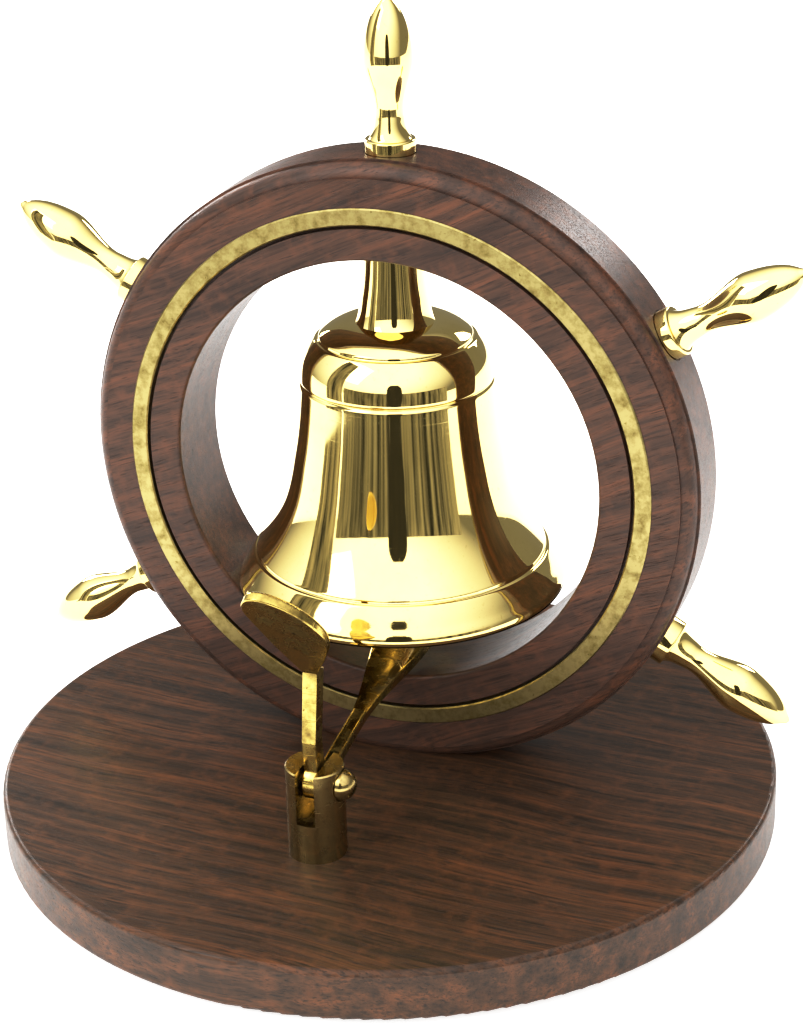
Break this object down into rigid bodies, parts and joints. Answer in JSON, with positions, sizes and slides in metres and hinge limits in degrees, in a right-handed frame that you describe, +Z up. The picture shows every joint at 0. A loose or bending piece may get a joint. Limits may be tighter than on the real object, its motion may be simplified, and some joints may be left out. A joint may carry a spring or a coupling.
{
  "type": "ship bell",
  "caption": "Desk bell hung in a ship's wheel of turned wood with brass handles, on a round wood base, rung by a pivoting brass striker with a thumb paddle.",
  "frame": {"origin": "centre of the underside of the base's felt pad", "axes": "+Z up; -Y towards the striker, the front of the bell; +X to the right seen from the front, across the wheel"},
  "size_m": [0.1842, 0.18, 0.1894],
  "materials": {
    "base_wood": "satin varnish",
    "wheel_wood": "satin varnish",
    "polished_brass": "mirror polish",
    "satin_brass": "satin, lightly tarnished",
    "aged_brass": "dull, scratched",
    "cast_brass": "polished paddle, rough filed hammer",
    "steel": "zinc plated",
    "felt": "pressed felt"
  },
  "bodies": {
    "stand": {"felt_pad": "felt", "base_disc": "base_wood", "wheel_rim": "wheel_wood", "brass_inlay_ring": "satin_brass", "handle_top": "polished_brass", "handle_upper_right": "polished_brass", "handle_upper_left": "polished_brass", "handle_lower_left": "polished_brass", "handle_lower_right": "polished_brass", "handle_studs": "steel", "bell": "polished_brass", "bell_stem": "polished_brass", "bell_washer": "steel", "bell_nut": "steel", "hanger_rod": "steel", "striker_post": "aged_brass", "pivot_screw": "aged_brass", "post_screw": "steel", "wheel_screws": "steel"},
    "striker": {"striker": "cast_brass"}
  },
  "joints": [
    {"name": "striker_rock", "type": "hinge", "parent": "stand", "child": "striker", "pos_m": [0, -0.0445, 0.0305], "axis": [1, 0, 0], "range_deg": [0, 40.5]}
  ]
}
